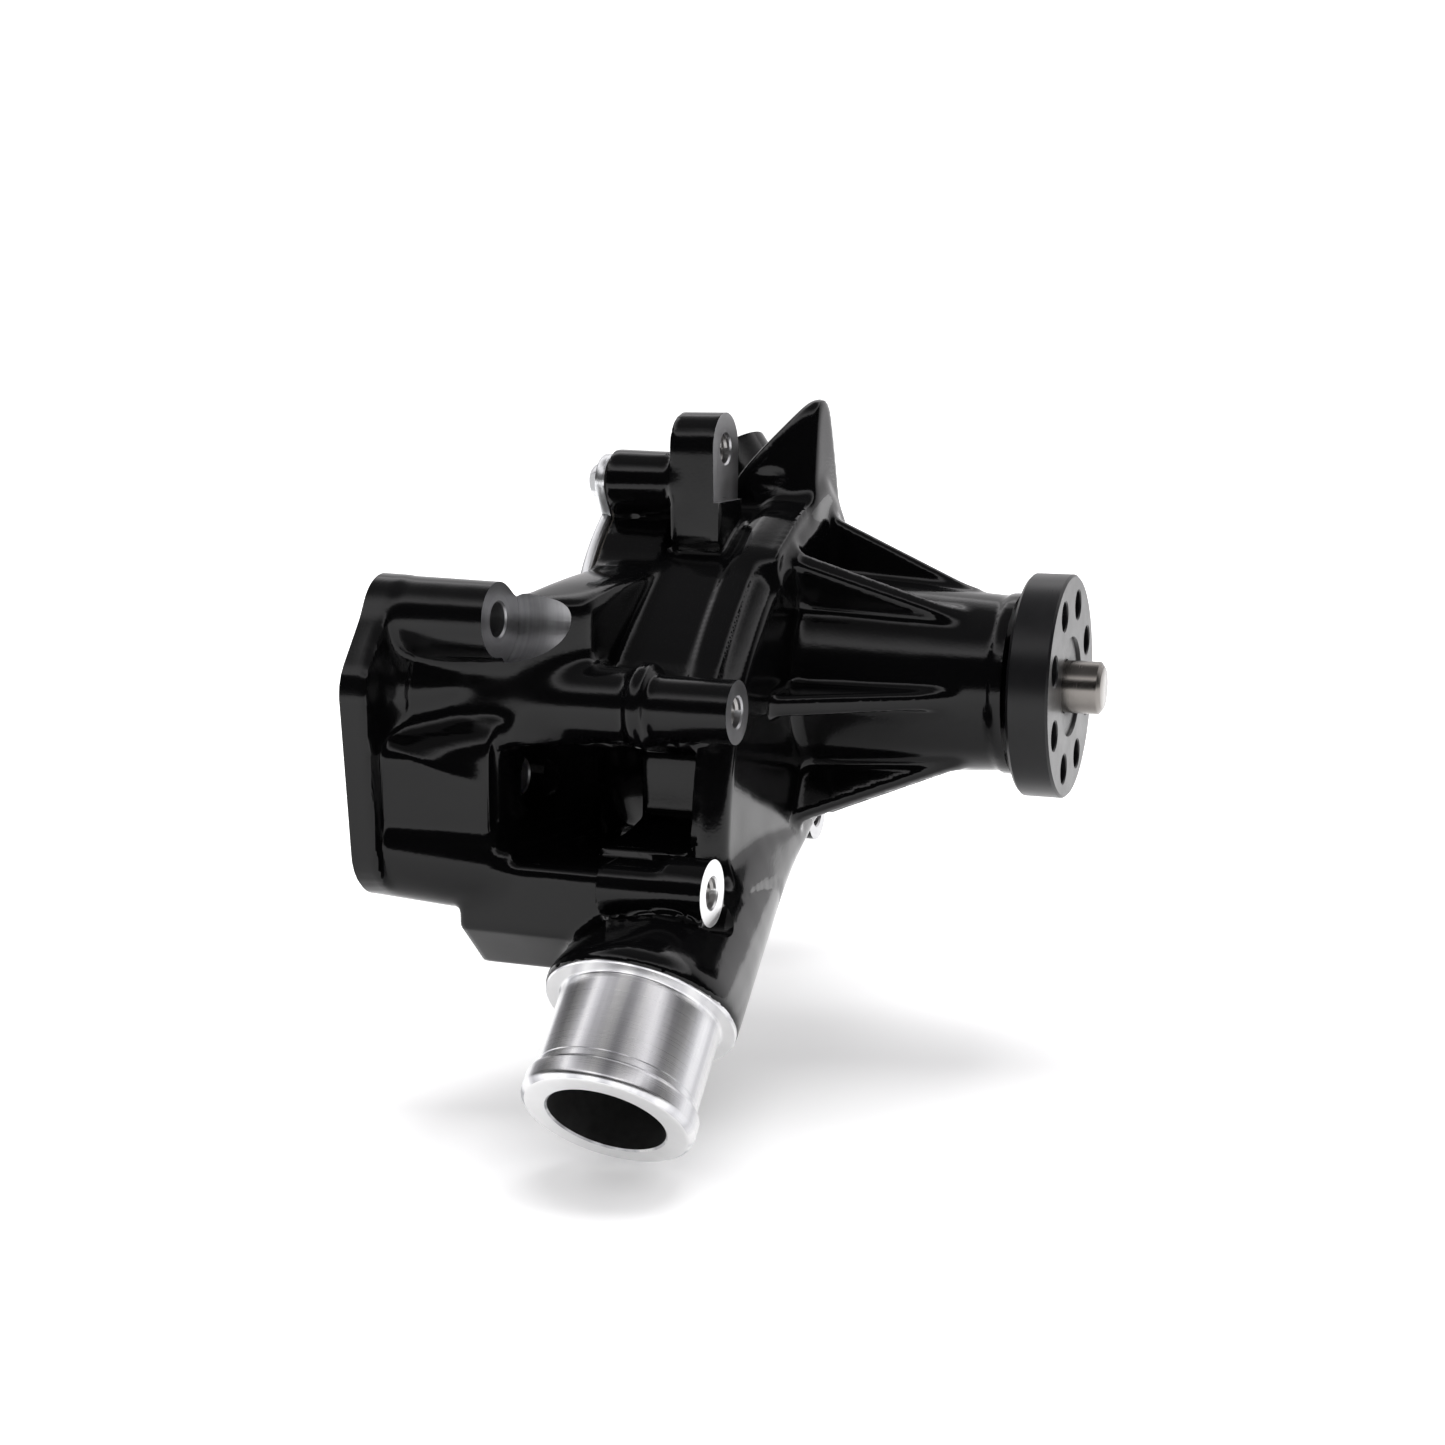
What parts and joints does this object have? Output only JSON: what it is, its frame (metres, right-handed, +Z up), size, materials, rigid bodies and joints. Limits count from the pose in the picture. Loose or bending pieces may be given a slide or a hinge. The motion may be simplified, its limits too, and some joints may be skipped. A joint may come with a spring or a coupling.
{
  "type": "engine coolant pump",
  "caption": "Engine-driven coolant pump: an aluminium housing with two block legs, an angled hose inlet, a sealed bearing shaft, a pulley hub and an impeller.",
  "frame": {"origin": "where the shaft axis meets the plane of the two block faces", "axes": "+X along the shaft towards the pulley hub, +Z up towards the top ear, +Y to the side away from the hose inlet"},
  "size_m": [0.1862, 0.2942, 0.2003],
  "materials": {
    "black_cast": "gloss black coating on cast aluminium, bare machined faces",
    "satin_black": "satin black",
    "steel": "ground steel",
    "bearing_steel": "polished bearing steel",
    "zinc": "bright zinc plate",
    "cast_iron": "as cast",
    "brass": "pressed",
    "rubber": "moulded",
    "carbon": "lapped carbon",
    "ceramic": "lapped ceramic",
    "gasket": "paper"
  },
  "bodies": {
    "housing": {"pump_housing": "black_cast", "rear_cover": "zinc", "rear_cover_gasket": "gasket", "cover_screw_1": "zinc", "cover_screw_2": "zinc", "cover_screw_3": "zinc", "cover_screw_4": "zinc", "cover_screw_5": "zinc", "cover_screw_6": "zinc", "bearing_outer_race": "bearing_steel", "bearing_shield_front": "rubber", "bearing_shield_rear": "rubber", "seal_cup": "brass", "seal_bellows": "rubber", "seal_spring": "steel", "seal_carbon_ring": "carbon"},
    "rotor": {"bearing_shaft": "steel", "pulley_hub": "satin_black", "slinger": "rubber", "impeller": "cast_iron", "seal_seat": "ceramic", "seal_seat_boot": "rubber"},
    "front_row": {"front_ball_cage": "brass", "front_ball_1": "bearing_steel", "front_ball_2": "bearing_steel", "front_ball_3": "bearing_steel", "front_ball_4": "bearing_steel", "front_ball_5": "bearing_steel", "front_ball_6": "bearing_steel", "front_ball_7": "bearing_steel", "front_ball_8": "bearing_steel"},
    "rear_row": {"rear_ball_cage": "brass", "rear_ball_1": "bearing_steel", "rear_ball_2": "bearing_steel", "rear_ball_3": "bearing_steel", "rear_ball_4": "bearing_steel", "rear_ball_5": "bearing_steel", "rear_ball_6": "bearing_steel", "rear_ball_7": "bearing_steel", "rear_ball_8": "bearing_steel"}
  },
  "joints": [
    {"name": "shaft_spin", "type": "hinge", "parent": "housing", "child": "rotor", "pos_m": [0.13, 0, 0], "axis": [1, 0, 0], "continuous": true},
    {"name": "front_row_spin", "type": "hinge", "parent": "housing", "child": "front_row", "pos_m": [0.146, 0, 0], "axis": [1, 0, 0], "continuous": true},
    {"name": "rear_row_spin", "type": "hinge", "parent": "housing", "child": "rear_row", "pos_m": [0.113, 0, 0], "axis": [1, 0, 0], "continuous": true}
  ],
  "couplings": [
    {"joint": "front_row_spin", "follows": "shaft_spin", "ratio": 0.363},
    {"joint": "rear_row_spin", "follows": "shaft_spin", "ratio": 0.363}
  ]
}
